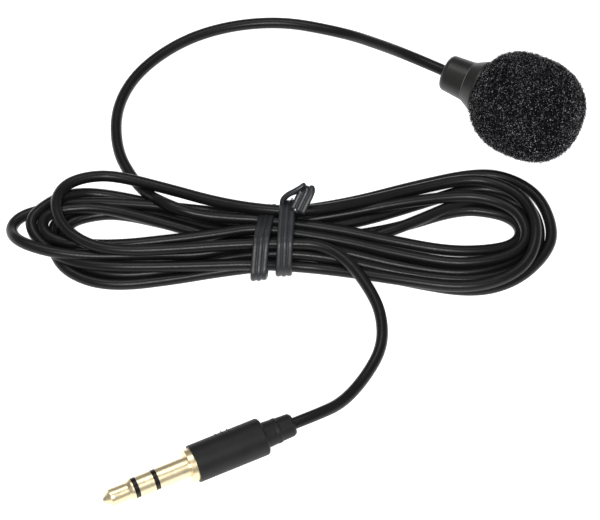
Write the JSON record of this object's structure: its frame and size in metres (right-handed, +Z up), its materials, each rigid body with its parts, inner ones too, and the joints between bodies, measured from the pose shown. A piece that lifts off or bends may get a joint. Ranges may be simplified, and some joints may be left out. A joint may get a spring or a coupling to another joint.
{
  "type": "lavalier microphone",
  "caption": "Small clip-less lavalier microphone: capsule head in a foam ball windscreen, thin cable in a tied hank, and a 3.5 mm three-pole plug.",
  "frame": {"origin": "on the surface that the microphone lies on, under the middle of the head's length", "axes": "+X along the head from its cable end to the front of the foam, +Z up"},
  "size_m": [0.0827, 0.1095, 0.0184],
  "materials": {
    "foam": "open-cell foam, black",
    "housing": "satin black moulded plastic",
    "cable": "satin black soft PVC",
    "tie": "ribbed dark grey PVC ribbon",
    "tie_wire": "bare wire",
    "gold": "pale gold plating, polished",
    "band": "black insulating bands",
    "plug_body": "matte black moulded PVC",
    "inner_mould": "natural polyethylene",
    "boot": "black silicone rubber",
    "can": "drawn aluminium",
    "steel": "punched stainless sheet",
    "brass": "turned brass",
    "felt": "black felt",
    "film": "metallised film",
    "insulator": "white plastic",
    "board": "green glass-epoxy board",
    "chip": "black epoxy package",
    "solder": "tin solder",
    "core_white": "white core insulation",
    "core_copper": "twisted copper shield"
  },
  "bodies": {
    "microphone": {"head_shell": "housing", "rear_housing": "housing", "front_grille": "steel", "capsule_boot": "boot", "dust_felt": "felt", "capsule_can": "can", "diaphragm_ring": "brass", "diaphragm": "film", "diaphragm_spacer": "insulator", "backplate": "brass", "plate_holder": "insulator", "contact_ring": "brass", "capsule_board": "board", "capsule_fet": "chip", "capsule_solder_joints": "solder", "mic_signal_wire": "core_white", "mic_shield_wire": "core_copper", "cable_crimp": "brass", "mic_jacket_end": "cable", "cable_mic_lead": "cable", "cable_hank": "cable", "cable_plug_lead": "cable", "twist_tie_sleeve": "tie", "twist_tie_wire": "tie_wire", "plug_tip": "gold", "plug_front_insulator": "band", "plug_ring": "gold", "plug_rear_insulator": "band", "plug_sleeve": "gold", "plug_inner_mould": "inner_mould", "plug_barrel": "plug_body", "plug_strain_relief": "plug_body", "plug_jacket_end": "cable", "plug_signal_wire": "core_white", "plug_shield_wire": "core_copper", "plug_solder_joints": "solder"},
    "windscreen": {"foam_windscreen": "foam"}
  },
  "joints": [
    {"name": "windscreen_slide", "type": "slide", "parent": "microphone", "child": "windscreen", "axis": [1, 0, 0], "range_m": [0, 0.012]}
  ]
}
